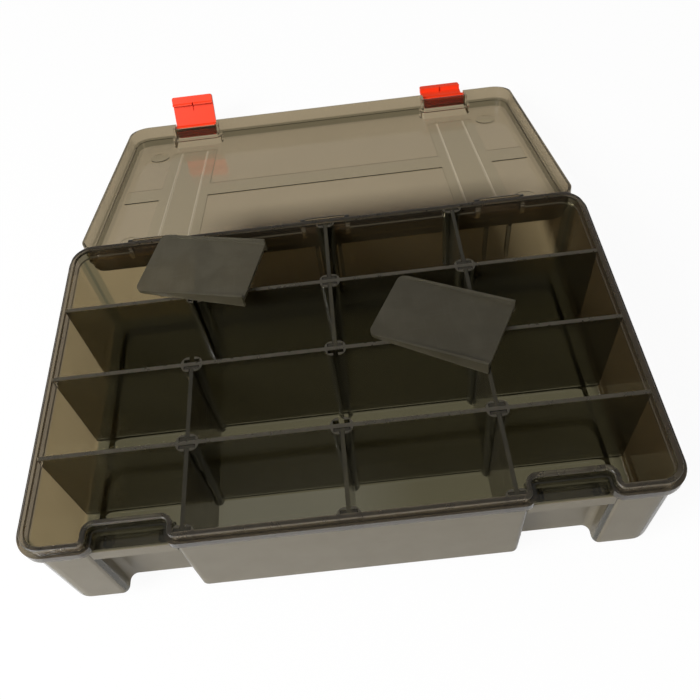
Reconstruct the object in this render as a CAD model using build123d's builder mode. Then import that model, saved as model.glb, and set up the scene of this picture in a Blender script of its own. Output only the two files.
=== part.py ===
from build123d import *
from math import atan, cos, degrees, radians, sin
import os

os.makedirs("parts", exist_ok=True)

# A divided lure box with a hinged lid. X runs to the right, Y to the back and Z up, in millimetres.
# The origin is the middle of the tray in plan, on the surface that its foot ring stands on.
# The lid is folded back, as it lies when open.

# Cells of the tray: four rows between three fixed walls, and three lines of divider slots across them
row_pitch = 54.0
column_pitch = 87.5
end_column = 85.3
fixed_wall = 2.4
floor_thickness = 2.0
floor_round = 2.0

# Tray body and its rim
body_wall = 2.4
corner_radius = 13.2
bottom_round = 4.0
foot_height = 10.0
foot_wall = 2.4
foot_inset = 8.0
rim_above_cells = 1.0
bead_height = 4.0
bead_out = 0.4
flange_out = 2.8
flange_height = 5.5
bead_round = 0.8

# Notches in the tray's front where the latches hang
notch_width = 44.0
notch_depth = 11.6
notch_margin = 1.2
notch_round = 4.2

# Divider posts, one at each slot line on each wall
post_width = 13.0
post_foot_width = 9.8
post_round = 4.5
claw = 1.5

# Slot lines, from the left, that hold a divider in each row of cells, from the back
divider_slots = {"a": "123", "b": "23", "c": "13", "d": "123"}

# Dividers: a plate with a tapering head along each upright edge, a little lower than the cells are deep
divider_height = 75.5
divider_drop = 0.5
divider_web = 2.4
divider_round = 5.0
head_thickness = 1.8
head_top_width = 9.0
head_foot_width = 3.0
head_foot_gap = 6.0
divider_end_gap = 0.4
slide_gap = 0.3
seat_gap = 0.1

# Lid: a skirt over the tray's bead, a small shelf, an inner wall and the roof
lid_wall = 2.0
lid_gap = 0.4
lid_rest_gap = 0.3
skirt_height = 10.0
shelf_width = 2.5
lid_hollow = 17.0
roof_thickness = 2.0
roof_round = 1.5
lid_open_angle = 195.2

# Moulded pattern on the lid's roof
band_step = 0.8
track_inner = 98.0
track_outer = 139.0
track_length = 162.0
track_rib_inner = 106.5
track_rib_outer = 130.0
rib_width = 1.2
rib_height = 1.4
cross_width = 21.5
cross_reach = 168.0
boss_radius = 8.5
boss_x = 151.0
boss_y = 77.0

# Hinge: bars on the tray's back, held by ears, and clips on the lid that snap over them
hinge_out = 3.0
hinge_drop = 3.5
hinge_spacing = 122.0
hinge_width = 34.0
hinge_bar_radius = 1.5
hinge_ear = 3.0
hinge_ear_radius = 2.8
hinge_ear_drop = 6.0
hinge_gap = 0.3
clip_wall = 1.4
clip_side_gap = 0.5
clip_mouth = 2.5
clip_web_rise = 6.5
clip_web_top_angle = 45.0
clip_web_foot_angle = 60.0
stop_rib = 2.4
stop_rib_spacing = 16.4
stop_rib_inset = 1.4
# Depths of the stop ribs' corners below the flange
stop_rib_top = 5.5
stop_rib_high = 11.5
stop_rib_low = 45.0
stop_rib_foot = 52.0

# Latches: a plate that turns on a bar in the lid's pocket. Its thick lip hooks under the tray's ledge
latch_width = 37.4
latch_plate = 2.5
latch_bar_radius = 2.0
latch_bar_gap = 0.3
latch_bar_inset = 4.0
latch_bar_rise = 4.7
latch_barrel_wall = 1.6
latch_length = 29.5
latch_heel = 7.0
latch_mouth = 3.0
hook_drop = 21.3
hook_height = 2.2
hook_reach = 3.6
hook_slit = 1.2
hook_slit_length = 5.0
hook_slit_depth = 0.8
lip_extra = 2.4
latch_round = 2.0
latch_catch_gap = 0.3
latch_face_gap = 0.4
ledge_wall = 2.0
ledge_drop = 1.0
gusset = 1.6
gusset_inset = 7.0
gusset_drop = 6.0
left_latch_angle = 20.0
right_latch_angle = 84.5

# Two spare dividers lie on top of the cells: place in plan and turn about Z, and what each lies on
loose_gap = 0.1
loose_1_place = (-83.5, 74.8)
loose_1_turn = -17.3
loose_2_place = (65.8, 9.7)
loose_2_turn = -29.25

# Heights
floor_top = foot_height + floor_thickness
cell_depth = divider_height + divider_drop
cell_top = floor_top + cell_depth
rim_top = cell_top + rim_above_cells
flange_top = rim_top - bead_height
flange_low = flange_top - flange_height
lid_low = flange_top + lid_rest_gap
shelf_low = lid_low + skirt_height
roof_low = lid_low + lid_hollow
roof_top = roof_low + roof_thickness

# Plan sizes, all from the inner faces of the cells
inner_half_x = column_pitch + end_column
inner_half_y = 2 * row_pitch - fixed_wall / 2
half_x = inner_half_x + body_wall
half_y = inner_half_y + body_wall
notch_x = column_pitch + post_width / 2 + notch_margin + notch_width / 2
slot_lines = {"1": -column_pitch, "2": 0.0, "3": column_pitch}
wall_lines = [-row_pitch, 0.0, row_pitch]
row_centres = {"a": 1.5 * row_pitch, "b": 0.5 * row_pitch, "c": -0.5 * row_pitch, "d": -1.5 * row_pitch}
skirt_in = bead_out + lid_gap
skirt_out = skirt_in + lid_wall

# Hinge line
hinge_y = half_y + flange_out + hinge_out
hinge_z = lid_low - hinge_drop
hinge_axis = Axis((0, hinge_y, hinge_z), (1, 0, 0))
hinge_lines = [-hinge_spacing, 0.0, hinge_spacing]
clip_inner = hinge_bar_radius + hinge_gap
clip_outer = clip_inner + clip_wall

# Latch pivot and catch, with the lid closed
latch_y = -(half_y + flange_out) + latch_bar_inset
latch_z = lid_low + latch_bar_rise
latch_axis = Axis((0, latch_y, latch_z), (1, 0, 0))
barrel_inner = latch_bar_radius + latch_bar_gap
barrel_outer = barrel_inner + latch_barrel_wall
plate_outer_y = latch_y - barrel_outer
plate_inner_y = plate_outer_y + latch_plate
ledge_front = plate_inner_y + latch_face_gap
ledge_top = flange_low - ledge_drop
ledge_low = latch_z - hook_drop + latch_catch_gap
gusset_front = plate_inner_y + hook_reach + latch_face_gap
pocket_width = notch_width - 2 * skirt_out


def plan(grow, round_front=True):
    """Plan of the tray, grown outwards from its body: a rounded rectangle less the two latch notches.

    The notches' front corners are rounded on the tray and sharp on the lid, where they hold the latch bars.
    """
    front = -(half_y + grow)
    middle = front + notch_depth / 2
    reach = notch_width / 2 - grow + notch_round
    with BuildSketch() as outline:
        RectangleRounded(2 * (half_x + grow), 2 * (half_y + grow), corner_radius + grow)
        with Locations((-notch_x, front), (notch_x, front)):
            Rectangle(notch_width - 2 * grow, 2 * notch_depth, mode=Mode.SUBTRACT)
        by_notch = outline.vertices().filter_by(lambda v: v.Y < 0 and abs(abs(v.X) - notch_x) < reach)
        fillet(by_notch.filter_by(lambda v: v.Y > middle), notch_round - grow)
        if round_front:
            by_notch = outline.vertices().filter_by(lambda v: v.Y < 0 and abs(abs(v.X) - notch_x) < reach)
            fillet(by_notch.filter_by(lambda v: v.Y < middle), notch_round + grow)
    return outline.sketch


def on_clip(angle):
    """Point on the outside of a hinge clip, seen along X, at an angle in degrees from straight back."""
    return hinge_y + clip_outer * cos(radians(angle)), hinge_z + clip_outer * sin(radians(angle))


def head_half(height):
    """Half the width of a divider's head at a height above the divider's foot."""
    slope = (head_top_width - head_foot_width) / 2 / (divider_height - head_foot_gap)
    return head_foot_width / 2 + slope * (height - head_foot_gap)


head_room = divider_end_gap + head_thickness + slide_gap
post_depth = fixed_wall + 2 * (head_room + claw)

# Divider: a plate with a tapering head along each upright edge, standing in the YZ plane
with BuildPart() as divider:
    divider_width = row_pitch - fixed_wall - 2 * divider_end_gap
    with BuildSketch(Plane.YZ) as plate:
        with Locations((0, divider_height / 2)):
            Rectangle(divider_width, divider_height)
        fillet(plate.vertices().group_by(Axis.Y)[0], divider_round)
    extrude(amount=divider_web / 2, both=True)
    foot_half = head_half(head_foot_gap)
    top_half = head_half(divider_height)
    for end in (-1, 1):
        with BuildSketch(Plane.XZ.offset(end * (divider_width - head_thickness) / 2)):
            with BuildLine():
                Polyline((-foot_half, head_foot_gap), (foot_half, head_foot_gap),
                         (top_half, divider_height), (-top_half, divider_height), close=True)
            make_face()
        extrude(amount=head_thickness / 2, both=True)

# Post: narrower at the foot, with a slot for a divider's head towards each row
with BuildPart() as post:
    for height, width in ((floor_top, post_foot_width), (cell_top, post_width)):
        with BuildSketch(Plane.XY.offset(height)):
            RectangleRounded(width, post_depth, post_round)
    loft()
    foot_half = head_half(-seat_gap) + slide_gap
    top_half = head_half(cell_depth - seat_gap) + slide_gap
    for end in (-1, 1):
        with BuildSketch(Plane.XZ.offset(end * (fixed_wall + head_room) / 2)):
            with BuildLine():
                Polyline((-foot_half, floor_top), (foot_half, floor_top),
                         (top_half, cell_top), (-top_half, cell_top), close=True)
            make_face()
        extrude(amount=head_room / 2, both=True, mode=Mode.SUBTRACT)
        with Locations((0, end * (post_depth - claw) / 2, floor_top + cell_depth / 2)):
            Box(divider_web + 2 * slide_gap, 2 * claw, cell_depth, mode=Mode.SUBTRACT)

# Half posts, for the front and the back wall
back_post = split(post.part, bisect_by=Plane.XZ, keep=Keep.TOP)
front_post = split(post.part, bisect_by=Plane.XZ, keep=Keep.BOTTOM)

# Ledge under each latch: a shelf with a lip that the hook catches, and gussets below it
with BuildPart() as ledge:
    ledge_root = -(half_y - notch_depth) + body_wall / 2
    with BuildSketch(Plane.YZ):
        with BuildLine():
            Polyline((ledge_root, ledge_top), (ledge_front, ledge_top), (ledge_front, ledge_low),
                     (ledge_front + ledge_wall, ledge_low), (ledge_front + ledge_wall, ledge_top - ledge_wall),
                     (ledge_root, ledge_top - ledge_wall), close=True)
        make_face()
    extrude(amount=notch_width / 2 + body_wall / 2, both=True)
    for side in (-1, 1):
        with BuildSketch(Plane.YZ.offset(side * (notch_width / 2 - gusset_inset))):
            with BuildLine():
                Polyline((gusset_front, ledge_top - ledge_wall / 2), (ledge_root, ledge_top - ledge_wall / 2),
                         (ledge_root, ledge_low - gusset_drop), (gusset_front, ledge_low), close=True)
            make_face()
        extrude(amount=gusset / 2, both=True)

# Hinge group on the tray: a bar between two ears, and two ribs that stop the open lid
stop_foot = half_y - body_wall / 2
stop_reach = hinge_y - stop_rib_inset
with BuildPart() as hinge_group:
    with Locations(Location((0, hinge_y, hinge_z), (0, 90, 0))):
        Cylinder(hinge_bar_radius, hinge_width)
    for side in (-1, 1):
        with BuildSketch(Plane.YZ.offset(side * (hinge_width - hinge_ear) / 2)):
            with BuildLine():
                Polyline((stop_foot, flange_low - hinge_ear_drop), (stop_foot, flange_top),
                         (hinge_y, hinge_z + hinge_ear_radius), (hinge_y, hinge_z - hinge_ear_radius),
                         close=True)
            make_face()
            with Locations((hinge_y, hinge_z)):
                Circle(hinge_ear_radius)
        extrude(amount=hinge_ear / 2, both=True)
        with BuildSketch(Plane.YZ.offset(side * stop_rib_spacing / 2)):
            with BuildLine():
                Polyline((stop_foot, flange_low - stop_rib_top), (stop_reach, flange_low - stop_rib_high),
                         (stop_reach, flange_low - stop_rib_low), (stop_foot, flange_low - stop_rib_foot),
                         close=True)
            make_face()
        extrude(amount=stop_rib / 2, both=True)

# Fixed wall across the tray, with a rounded foot on both sides
with BuildPart() as cell_wall:
    with BuildSketch(Plane.YZ):
        with Locations((0, floor_top + cell_depth / 2)):
            Rectangle(fixed_wall, cell_depth)
        with Locations((0, floor_top + floor_round / 2)):
            Rectangle(fixed_wall + 2 * floor_round, floor_round)
        round_y = fixed_wall / 2 + floor_round
        with Locations((-round_y, floor_top + floor_round), (round_y, floor_top + floor_round)):
            Circle(floor_round, mode=Mode.SUBTRACT)
    extrude(amount=inner_half_x + body_wall / 2, both=True)

# Tray: body, rim, foot ring, fixed walls, posts, latch ledges and hinge bars in one moulding
with BuildPart() as tray:
    with BuildSketch(Plane.XY.offset(foot_height)):
        add(plan(0.0))
    extrude(amount=rim_top - foot_height)
    fillet(tray.faces().sort_by(Axis.Z)[0].edges(), bottom_round)
    with BuildSketch(Plane.XY.offset(flange_top)):
        add(plan(bead_out))
    extrude(amount=bead_height)
    with BuildSketch(Plane.XY.offset(flange_low)):
        add(plan(flange_out))
    extrude(amount=flange_height)
    fillet(tray.faces().filter_by(Axis.Z).group_by(Axis.Z)[-1].edges(), bead_round)
    with BuildSketch(Plane.XY.offset(floor_top)):
        add(plan(-body_wall))
    extrude(amount=rim_top, mode=Mode.SUBTRACT)
    fillet(tray.faces().filter_by(Axis.Z).group_by(Axis.Z)[1].edges(), floor_round)
    foot_front = -(half_y - notch_depth - foot_inset)
    foot_back = half_y - foot_inset
    with BuildSketch():
        with Locations((0, (foot_front + foot_back) / 2)):
            RectangleRounded(2 * (half_x - foot_inset), foot_back - foot_front, corner_radius)
        offset(amount=-foot_wall, mode=Mode.SUBTRACT)
    extrude(amount=foot_height)
    with Locations([(x, hinge_y, flange_low + flange_height / 2) for x in hinge_lines]):
        Box(hinge_width, 2 * (hinge_y - half_y - bead_out), flange_height, mode=Mode.SUBTRACT)
    with Locations([(0, y, 0) for y in wall_lines]):
        add(cell_wall.part)
    with Locations([(x, y, 0) for x in slot_lines.values() for y in wall_lines]):
        add(post.part)
    with Locations([(x, 2 * row_pitch, 0) for x in slot_lines.values()]):
        add(back_post)
    with Locations([(x, -2 * row_pitch, 0) for x in slot_lines.values()]):
        add(front_post)
    with Locations((-notch_x, 0, 0), (notch_x, 0, 0)):
        add(ledge.part)
    with Locations([(x, 0, 0) for x in hinge_lines]):
        add(hinge_group.part)

# Lid: modelled shut, then folded back about the hinge. Its skirt and inner wall follow the tray's outline
with BuildPart() as shut_lid:
    shelf_top = shelf_low + lid_wall
    with BuildSketch(Plane.XY.offset(lid_low)):
        add(plan(skirt_out, round_front=False))
    extrude(amount=shelf_top - lid_low)
    with BuildSketch(Plane.XY.offset(shelf_top)):
        add(plan(skirt_out - shelf_width, round_front=False))
    extrude(amount=roof_top - shelf_top)
    fillet(shut_lid.faces().sort_by(Axis.Z)[-1].edges(), roof_round)
    with BuildSketch(Plane.XY.offset(lid_low)):
        add(plan(skirt_in, round_front=False))
    extrude(amount=skirt_height, mode=Mode.SUBTRACT)
    with BuildSketch(Plane.XY.offset(shelf_low)):
        add(plan(skirt_in - shelf_width, round_front=False))
    extrude(amount=roof_low - shelf_low, mode=Mode.SUBTRACT)
    # Latch bars across the pockets
    with Locations([Location((x, latch_y, latch_z), (0, 90, 0)) for x in (-notch_x, notch_x)]):
        Cylinder(latch_bar_radius, pocket_width + lid_wall)
    # Shallow bands and ribs under the roof
    with Locations((0, 0, roof_low)):
        with Locations([(side * (track_inner + track_outer) / 2, 0, 0) for side in (-1, 1)]):
            Box(track_outer - track_inner, track_length, 2 * band_step)
        Box(2 * cross_reach, cross_width, 2 * band_step)
        with Locations([(side * x, 0, 0) for side in (-1, 1) for x in (track_rib_inner, track_rib_outer)]):
            Box(rib_width, track_length, 2 * rib_height)
        with Locations([(sx * boss_x, sy * boss_y, 0) for sx in (-1, 1) for sy in (-1, 1)]):
            Cylinder(boss_radius, 2 * band_step)
    # Hinge clips
    web_start = half_y + skirt_out - lid_wall / 2
    for x in hinge_lines:
        with BuildSketch(Plane.YZ.offset(x)):
            with BuildLine():
                Polyline((web_start, lid_low + lid_rest_gap), (web_start, lid_low + clip_web_rise),
                         on_clip(clip_web_top_angle), on_clip(180 - clip_web_foot_angle), close=True)
            make_face()
            with Locations((hinge_y, hinge_z)):
                Circle(clip_outer)
                Circle(clip_inner, mode=Mode.SUBTRACT)
            with Locations((hinge_y + clip_outer, hinge_z)):
                Rectangle(2 * clip_wall + 2 * hinge_gap, clip_mouth, mode=Mode.SUBTRACT)
        extrude(amount=hinge_width / 2 - hinge_ear - clip_side_gap, both=True)

# Latch: modelled shut on the middle of the front
with BuildPart() as shut_latch:
    lip_low = latch_z - latch_length
    hook_top = latch_z - hook_drop
    lip_y = plate_inner_y + lip_extra
    hook_y = plate_inner_y + hook_reach
    with BuildSketch(Plane.YZ):
        with BuildLine():
            Polyline((plate_outer_y, latch_z + latch_heel), (plate_outer_y, lip_low), (lip_y, lip_low),
                     (lip_y, hook_top - hook_height), (hook_y, hook_top - hook_height / 2), (hook_y, hook_top),
                     (plate_inner_y, hook_top), (plate_inner_y, latch_z + latch_heel), close=True)
        make_face()
        with Locations((latch_y, latch_z)):
            Circle(barrel_outer)
            Circle(barrel_inner, mode=Mode.SUBTRACT)
        with Locations((latch_y + barrel_outer, latch_z)):
            Rectangle(2 * latch_barrel_wall + 2 * latch_bar_gap, latch_mouth, mode=Mode.SUBTRACT)
    extrude(amount=latch_width / 2, both=True)
    # A fine slit splits the hook and runs on into the plate
    with Locations((0, plate_inner_y - hook_slit_depth, hook_top - hook_height)):
        Box(hook_slit, hook_slit_depth + hook_reach, hook_height + hook_slit_length, mode=Mode.SUBTRACT,
            align=(Align.CENTER, Align.MIN, Align.MIN))
    fillet(shut_latch.edges().filter_by(Axis.Y).group_by(Axis.Z)[0], latch_round)
    fillet(shut_latch.edges().filter_by(Axis.Y).group_by(Axis.Z)[-1], latch_round)

# The pieces in their places, each written under its own name
pieces = {"tray": tray.part, "lid": shut_lid.part.rotate(hinge_axis, -lid_open_angle)}
latches = (("latch_left", -notch_x, left_latch_angle), ("latch_right", notch_x, right_latch_angle))
for name, x, angle in latches:
    turned = shut_latch.part.rotate(latch_axis, -angle).moved(Location((x, 0, 0)))
    pieces[name] = turned.rotate(hinge_axis, -lid_open_angle)
for row, columns in divider_slots.items():
    for column in columns:
        place = Location((slot_lines[column], row_centres[row], floor_top + seat_gap))
        pieces[f"divider_{row}{column}"] = divider.part.moved(place)

# A loose divider lies on the edges of its two tapering heads, with its upper end to the right
spread = head_half(divider_height) - head_half(head_foot_gap)
taper = degrees(atan(spread / (divider_height - head_foot_gap)))
flat = Location((-divider_height / 2, 0, head_half(0) * cos(radians(taper))), (0, 90 - taper, 0))
for name, (x, y), turn, support in (("loose_divider_1", loose_1_place, loose_1_turn, rim_top),
                                    ("loose_divider_2", loose_2_place, loose_2_turn, cell_top)):
    place = Location((x, y, support + loose_gap), (0, 0, turn))
    pieces[name] = divider.part.moved(place * flat)

for name, piece in pieces.items():
    piece.label = name
    export_step(piece, f"parts/{name}.step")
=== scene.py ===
import bpy
import numpy as np
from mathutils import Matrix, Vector

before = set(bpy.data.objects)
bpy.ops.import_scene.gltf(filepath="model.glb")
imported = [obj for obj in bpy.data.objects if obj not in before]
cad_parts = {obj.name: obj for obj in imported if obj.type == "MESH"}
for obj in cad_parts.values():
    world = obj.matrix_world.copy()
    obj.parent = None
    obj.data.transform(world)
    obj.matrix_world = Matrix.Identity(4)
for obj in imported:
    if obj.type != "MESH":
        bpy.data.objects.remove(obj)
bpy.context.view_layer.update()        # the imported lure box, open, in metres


# Tray: one deep moulding in smoke-tinted clear plastic, with four rows of cells, posts for the
# dividers, latch ledges and hinge bars. Its walls and floor are polished, the narrow tops of its
# walls satin from the tool, and the colour deepens with every wall that one looks through.
class Wire:
    """A socket that can be written into sums; each operator adds a Math node."""

    def __init__(self, mix, socket):
        self.mix = mix
        self.socket = socket

    def join(self, kind, *others, clamp=False):
        settings = {"operation": kind, "use_clamp": clamp}
        return self.mix.node("ShaderNodeMath", settings, dict(enumerate((self, *others))))

    def __add__(self, other):
        return self.join("ADD", other)

    def __radd__(self, other):
        return self.join("ADD", other)

    def __sub__(self, other):
        return self.join("SUBTRACT", other)

    def __rsub__(self, other):
        return (self * -1.0).join("ADD", other)

    def __mul__(self, other):
        return self.join("MULTIPLY", other)

    def __rmul__(self, other):
        return self.join("MULTIPLY", other)

    def __abs__(self):
        return self.join("ABSOLUTE")

    def clamped(self):
        return self.join("ADD", 0.0, clamp=True)

    def above(self, level, blur):
        """0 below level, 1 above it, rising evenly over blur."""
        return self.join("SUBTRACT", level).join("MULTIPLY_ADD", 1.0 / blur, 0.5, clamp=True)

    def within(self, centre, half, blur):
        """1 where the value lies within half of centre, else 0, fading over blur."""
        return (half - abs(self - centre)).above(0.0, blur)


class Mix:
    """The recipe of one material: its node tree, from Object coordinates to the surface."""

    def __init__(self, name):
        self.material = bpy.data.materials.new(name)
        self.material.use_nodes = True
        self.tree = self.material.node_tree
        self.tree.nodes.clear()
        self.place = self.node("ShaderNodeTexCoord", out="Object")

    def node(self, kind, settings=None, inputs=None, out=0):
        made = self.tree.nodes.new(kind)
        for key, value in (settings or {}).items():
            setattr(made, key, value)
        for key, value in (inputs or {}).items():
            if isinstance(value, Wire):
                self.tree.links.new(value.socket, made.inputs[key])
            else:
                made.inputs[key].default_value = value
        return Wire(self, made.outputs[out])

    def axis(self, letter):
        return self.node("ShaderNodeSeparateXYZ", None, {0: self.place}, letter)

    def noise(self, scale, detail=2.0, stretch=(1.0, 1.0, 1.0), turn=(0.0, 0.0, 0.0)):
        """Noise about 0.5, with scale in patches per metre, drawn out where stretch is under 1."""
        where = self.node("ShaderNodeMapping", None, {
            "Vector": self.place, "Rotation": turn, "Scale": stretch})
        return self.node("ShaderNodeTexNoise", None, {
            "Vector": where, "Scale": scale, "Detail": detail})

    def blend(self, share, colour_a, colour_b):
        """Colour from a to b as share goes from 0 to 1."""
        settings = {"data_type": "RGBA"}
        inputs = {0: share}
        for key, colour in ((6, colour_a), (7, colour_b)):
            inputs[key] = colour if isinstance(colour, Wire) else (*colour, 1.0)
        return self.node("ShaderNodeMix", settings, inputs, 2)

    def bump(self, height, distance):
        return self.node("ShaderNodeBump", None, {"Height": height, "Distance": distance})

    def plastic(self, inputs):
        return self.node("ShaderNodeBsdfPrincipled", None, inputs)

    def finish(self, surface):
        output = self.tree.nodes.new("ShaderNodeOutputMaterial")
        self.tree.links.new(surface.socket, output.inputs["Surface"])
        return self.material


def dress(node_names, material):
    """Put one material on each of the named nodes."""
    for node_name in node_names:
        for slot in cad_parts[node_name].material_slots:
            slot.material = material


def scratches(mix, scale, share):
    """Fine hairlines: two noises, each drawn out along its own direction, kept where they peak."""
    peak_blur = 0.05
    first = mix.noise(scale, detail=1.0, stretch=(0.04, 1.0, 1.0), turn=(0.0, 0.0, 0.5))
    second = mix.noise(scale, detail=1.0, stretch=(1.0, 0.05, 1.0), turn=(0.0, 0.0, 0.3))
    peaks = first.above(1.0 - share, peak_blur) + second.above(1.0 - share, peak_blur)
    return peaks.clamped()


inner_tint = (0.125, 0.112, 0.066)
inner_tint_deep = (0.105, 0.096, 0.056)
outer_tint = (0.29, 0.225, 0.12)
outer_tint_deep = (0.22, 0.168, 0.088)
wall_top_tint = (0.66, 0.58, 0.43)
rim_tint = (0.21, 0.172, 0.122)
outside_tint = (0.235, 0.197, 0.130)
outside_tint_worn = (0.20, 0.168, 0.108)
# painted light: a paler tint for the floor of the front row
painted_light_floor_tint = (0.155, 0.145, 0.102)
# painted shade: a much darker tint for the hinge's bars and stop ribs
hinge_shade_tint = (0.05, 0.042, 0.026)
plastic_ior = 1.5
grain_scale = 1400.0
grain_depth = 0.00002
etch_scale = 2600.0
etch_depth = 0.00003
wall_top = 0.0874
rim_top = 0.0885
top_blur = 0.0006
side_wall = 0.1722
back_wall = 0.108
back_wall_half = 0.0018
front_wall = 0.1065
front_face = 0.1085
recess_face = 0.0972
recess_middle = 0.117
recess_half = 0.0223
flange_low = 0.0795
ledge_low = 0.0675
wall_blur = 0.0005
floor_middle = 0.011
floor_half = 0.0014
fine_blur = 0.0004
front_row = 0.0553
pale_middle = -0.044
pale_half = 0.06
pale_blur = 0.05
behind_wall = 0.1098
behind_flange = 0.1125
flange_blur = 0.0002
tray_mix = Mix("tray_smoke_plastic")
backward = tray_mix.axis("Y")
frontward = backward * -1.0
sideways = abs(tray_mix.axis("X"))
upward = tray_mix.axis("Z")
drift = tray_mix.noise(22.0)
satin = upward.above(wall_top, top_blur)
rubbed = satin * tray_mix.noise(160.0, detail=3.0).above(0.5, blur=0.3)
side_or_back = sideways.above(side_wall, wall_blur).join(
    "MAXIMUM", backward.within(back_wall, back_wall_half, wall_blur))
inner_colour = tray_mix.blend(drift, inner_tint, inner_tint_deep)
outer_colour = tray_mix.blend(drift, outer_tint, outer_tint_deep)
top_colour = tray_mix.blend(upward.above(rim_top, top_blur), wall_top_tint, rim_tint)
rim_band = side_or_back.join("MAXIMUM", frontward.above(front_wall, wall_blur))
rim_band = rim_band * upward.above(flange_low, wall_blur)
# Painted light: the floor of the front row is painted paler, most so in its second cell, as the
# light falls in the photograph
painted_light_floor = upward.within(floor_middle, floor_half, fine_blur)
painted_light_floor = painted_light_floor * frontward.above(front_row, wall_blur)
painted_light_floor = painted_light_floor * tray_mix.axis("X").within(pale_middle, pale_half, pale_blur)
wall_colour = tray_mix.blend(side_or_back, inner_colour, outer_colour)
wall_colour = tray_mix.blend(painted_light_floor, wall_colour, painted_light_floor_tint)
wall_colour = tray_mix.blend(rim_band, wall_colour, rim_tint)
# Painted shade: a much darker tint for the hinge's bars and stop ribs, which lie behind the back
# wall in the shade of the folded lid
below_flange = upward.within(0.0, flange_low, wall_blur)
hinge_shade = backward.above(behind_wall, fine_blur) * below_flange
hinge_shade = hinge_shade.join("MAXIMUM", backward.above(behind_flange, flange_blur))
wall_colour = tray_mix.blend(hinge_shade, wall_colour, hinge_shade_tint)
polished = tray_mix.plastic({
    "Base Color": tray_mix.blend(satin * 0.8 + rubbed * 0.2, wall_colour, top_colour),
    "Roughness": 0.045 + drift * 0.03 + satin * 0.2 + rubbed * 0.08,
    "IOR": plastic_ior, "Transmission Weight": 0.93,
    "Normal": tray_mix.bump(tray_mix.noise(grain_scale), grain_depth)})
# The front and the latch recesses are etched on the outside, so they scatter light like a matt
# grey skin
at_front = frontward.above(front_face, wall_blur) * below_flange
at_recess = frontward.above(recess_face, wall_blur) * upward.within(0.0, ledge_low, wall_blur)
at_recess = at_recess * sideways.within(recess_middle, recess_half, wall_blur)
etched = at_front.join("MAXIMUM", at_recess)
worn = tray_mix.noise(55.0, detail=4.0)
matt = tray_mix.plastic({
    "Base Color": tray_mix.blend(worn, outside_tint, outside_tint_worn),
    "Roughness": 0.34 + worn * 0.12,
    "IOR": plastic_ior, "Transmission Weight": 0.45,
    "Normal": tray_mix.bump(tray_mix.noise(etch_scale), etch_depth)})
tray_surface = tray_mix.node("ShaderNodeMixShader", None, {0: etched, 1: polished, 2: matt})
dress(["tray"], tray_mix.finish(tray_surface))


# Dividers: flat plates of the same smoke plastic, slid down into the slots of the posts. They are
# a little duller than the tray, with patches of fine rubbing.
divider_tint = (0.165, 0.145, 0.092)
divider_tint_worn = (0.23, 0.205, 0.14)


def divider_plastic(name, haze, dullness):
    """Smoke plastic with rubbed patches; haze is the share of light it scatters, and dullness is
    its least roughness."""
    mix = Mix(name)
    rubbing = mix.noise(70.0, detail=4.0).above(0.52, blur=0.2)
    hairlines = scratches(mix, scale=700.0, share=0.34)
    return mix.finish(mix.plastic({
        "Base Color": mix.blend(
            rubbing * 0.5 + hairlines * 0.2, divider_tint, divider_tint_worn),
        "Roughness": dullness + rubbing * 0.06 + hairlines * 0.05,
        "IOR": plastic_ior, "Transmission Weight": 1.0 - haze,
        "Normal": mix.bump(mix.noise(grain_scale), grain_depth)}))


seated = [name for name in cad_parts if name.startswith("divider_")]
dress(seated, divider_plastic("divider_smoke_plastic", haze=0.1, dullness=0.1))


# Loose dividers: two spare plates left lying on top of the cells. Their faces are hazed all over
# and show a soft sheen instead of a reflection. The second is the less hazed.
loose_dullness = 0.32
for loose_name, loose_haze in (("loose_divider_1", 0.25), ("loose_divider_2", 0.18)):
    dress([loose_name], divider_plastic(loose_name + "_plastic", loose_haze, loose_dullness))


# Lid: one shallow moulding in the same plastic, folded back on the hinge. Its roof is polished,
# with two broad tracks, a cross band and four round bosses that pass a little less light. Two
# paler ribs run along each track.
hinge_y = 0.115
hinge_z = 0.0818
open_angle = np.radians(195.2)
open_cos = float(np.cos(open_angle))
open_sin = float(np.sin(open_angle))
lid_tint = (0.36, 0.294, 0.193)
lid_tint_deep = (0.325, 0.265, 0.172)
pattern_tint = (0.315, 0.262, 0.17)
rib_tint = (0.50, 0.43, 0.31)
lid_wall_tint = (0.15, 0.125, 0.075)
track_middle = 0.1185
track_half = 0.0205
track_reach = 0.081
cross_half = 0.01075
cross_reach = 0.168
boss_x = 0.151
boss_y = 0.077
boss_radius = 0.0085
pattern_blur = 0.0008
inner_rib = 0.1065
outer_rib = 0.13
rib_half = 0.0008
rib_blur = 0.0004
lid_side_wall = 0.1705
lid_end_wall = 0.1045
lid_wall_middle = 0.0988
lid_wall_half = 0.0035
lid_wall_blur = 0.001
roof_wave_scale = 500.0
roof_wave_depth = 0.00001
lid_ior = 1.28           # under the plastic's own, so that the roof reflects less
lid_mix = Mix("lid_smoke_plastic")
from_hinge_y = lid_mix.axis("Y") - hinge_y
from_hinge_z = lid_mix.axis("Z") - hinge_z
side = abs(lid_mix.axis("X"))
# The place in the shut lid, turned back about the hinge by the angle that the lid is open
depth = abs(from_hinge_y * open_cos - from_hinge_z * open_sin + hinge_y)
height = from_hinge_y * open_sin + from_hinge_z * open_cos + hinge_z
along_track = depth.within(0.0, track_reach, pattern_blur)
track = side.within(track_middle, track_half, pattern_blur) * along_track
cross = depth.within(0.0, cross_half, pattern_blur) * side.within(0.0, cross_reach, pattern_blur)
boss_dx = side - boss_x
boss_dy = depth - boss_y
boss = (boss_dx * boss_dx + boss_dy * boss_dy).join("SQRT").within(0.0, boss_radius, pattern_blur)
pattern = (track + cross + boss).clamped()
ribs = side.within(inner_rib, rib_half, rib_blur) + side.within(outer_rib, rib_half, rib_blur)
ribs = ribs * along_track
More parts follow.
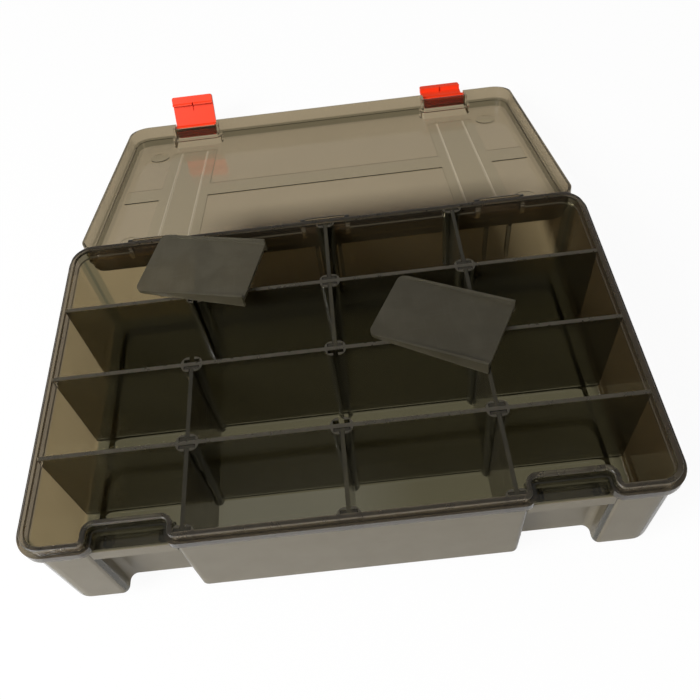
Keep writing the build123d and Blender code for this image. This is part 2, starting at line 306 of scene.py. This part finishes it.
# Its side walls between the shelf and the roof
lid_side = side.above(lid_side_wall, lid_wall_blur).join(
    "MAXIMUM", depth.above(lid_end_wall, lid_wall_blur))
lid_side = lid_side * height.within(lid_wall_middle, lid_wall_half, lid_wall_blur)
lid_drift = lid_mix.noise(16.0)
lid_hairlines = scratches(lid_mix, scale=500.0, share=0.33)
lid_colour = lid_mix.blend(lid_drift, lid_tint, lid_tint_deep)
roof_colour = lid_mix.blend(pattern, lid_colour, pattern_tint)
roof_colour = lid_mix.blend(ribs, roof_colour, rib_tint)
lid_plastic = lid_mix.plastic({
    "Base Color": lid_mix.blend(lid_side, roof_colour, lid_wall_tint),
    "Roughness": 0.09 + lid_drift * 0.04 + lid_hairlines * 0.05,
    "IOR": lid_ior, "Transmission Weight": 0.95,
    "Normal": lid_mix.bump(lid_mix.noise(roof_wave_scale), roof_wave_depth)})
dress(["lid"], lid_mix.finish(lid_plastic))


# Latches: two red-orange plates moulded in a tougher plastic that lets no light through, clipped
# over the bars in the lid's pockets so that they can turn.
latch_red = (0.96, 0.062, 0.014)
latch_red_deep = (0.90, 0.045, 0.010)
latch_grain_scale = 1800.0
latch_grain_depth = 0.00003
latch_mix = Mix("latch_red_plastic")
latch_patches = latch_mix.noise(60.0, detail=3.0)
latch_hairlines = scratches(latch_mix, scale=900.0, share=0.34)
latch_plastic = latch_mix.plastic({
    "Base Color": latch_mix.blend(latch_patches, latch_red, latch_red_deep),
    "Roughness": 0.36 + latch_patches * 0.1 + latch_hairlines * 0.08,
    "IOR": plastic_ior, "Specular IOR Level": 0.3,
    "Normal": latch_mix.bump(latch_mix.noise(latch_grain_scale), latch_grain_depth)})
dress(["latch_left", "latch_right"], latch_mix.finish(latch_plastic))


# Table: a plain white sheet under the open box. The camera sees it nearly white, with a trace of
# the box's shadow. Through the plastic it looks white too, but not behind the tray and to its
# right:
# there the box's cast shadow shows, darkened further by a browner painted shadow.
table_size = 4.0
table_top = -0.0005
sheet_white = (0.88, 0.88, 0.88, 1.0)
# a darker, browner painted shadow for the table behind the tray and to its right
sheet_painted_shadow = (0.34, 0.28, 0.2, 1.0)
tray_right = 0.176
tray_front = -0.12
shade_right_end = 0.2
behind_y, behind_half_y, behind_blur_y = 0.155, 0.06, 0.03
behind_x, behind_half_x, behind_blur_x = 0.035, 0.13, 0.06
camera_shine = 0.95
plastic_shine = 0.9
behind_dimming = 0.3
table_mix = Mix("table_white")
table_x = table_mix.axis("X")
table_y = table_mix.axis("Y")
to_camera = table_mix.node("ShaderNodeLightPath", out="Is Camera Ray")
through = table_mix.node("ShaderNodeLightPath", out="Is Transmission Ray")
shade_behind = table_y.within(behind_y, behind_half_y, behind_blur_y)
shade_behind = shade_behind * table_x.within(behind_x, behind_half_x, behind_blur_x)
shade_right = table_x.above(tray_right, blur=0.012) * table_y.above(tray_front, blur=0.02)
shade_right = shade_right * (1.0 - table_y.above(shade_right_end, blur=0.04))
lit = 1.0 - shade_behind.join("MAXIMUM", shade_right)
shine = (to_camera * camera_shine).join("MAXIMUM", through * lit * plastic_shine)
dimmed = through * shade_right.join("MAXIMUM", shade_behind * behind_dimming)
bright_matt = table_mix.node("ShaderNodeBsdfDiffuse", None, {"Color": sheet_white})
dim_matt = table_mix.node("ShaderNodeBsdfDiffuse", None, {"Color": sheet_painted_shadow})
matt_sheet = table_mix.node("ShaderNodeMixShader", None, {0: dimmed, 1: bright_matt, 2: dim_matt})
lit_sheet = table_mix.node("ShaderNodeEmission", None, {
    "Color": (1.0, 1.0, 1.0, 1.0), "Strength": 1.0})
table_white = table_mix.finish(table_mix.node("ShaderNodeMixShader", None, {
    0: shine, 1: matt_sheet, 2: lit_sheet}))
table_mesh = bpy.data.meshes.new("table")
table_corners = np.array([(-1, -1, 0), (1, -1, 0), (1, 1, 0), (-1, 1, 0)], dtype=float)
table_corners *= table_size
table_corners[:, 2] = table_top
table_mesh.from_pydata(table_corners.tolist(), [], [(0, 1, 2, 3)])
table_mesh.materials.append(table_white)
table = bpy.data.objects.new("table", table_mesh)
bpy.context.collection.objects.link(table)


# Light: a large soft lamp to the front left, which, with the painted shadow on the table to their
# right, leaves the right walls of the cells in shade, under an evenly lit pale room.
lamp_place = Vector((-1.25, -0.75, 1.25))
lamp_aim = Vector((0.0, 0.05, 0.05))
lamp_data = bpy.data.lights.new("soft_lamp", "AREA")
lamp_data.size = 0.9
lamp_data.energy = 44.0
lamp = bpy.data.objects.new("soft_lamp", lamp_data)
lamp.location = lamp_place
lamp.rotation_euler = (lamp_aim - lamp_place).to_track_quat("-Z", "Y").to_euler()
bpy.context.collection.objects.link(lamp)
room = bpy.data.worlds.new("room")
room.use_nodes = True
room.node_tree.nodes["Background"].inputs["Color"].default_value = (1.0, 0.98, 0.95, 1.0)
room.node_tree.nodes["Background"].inputs["Strength"].default_value = 0.3
bpy.context.scene.world = room


# Camera: in front of the box and a little right of its middle, looking down at it with the
# photograph's lens.
camera_data = bpy.data.cameras.new("camera")
camera_data.lens = 37.66
camera = bpy.data.objects.new("camera", camera_data)
camera.location = (0.01793, -0.2608, 0.4434)
camera.rotation_euler = np.radians((35.713, 4.739, -4.524)).tolist()
bpy.context.collection.objects.link(camera)
bpy.context.scene.camera = camera
bpy.context.scene.view_settings.view_transform = "Standard"
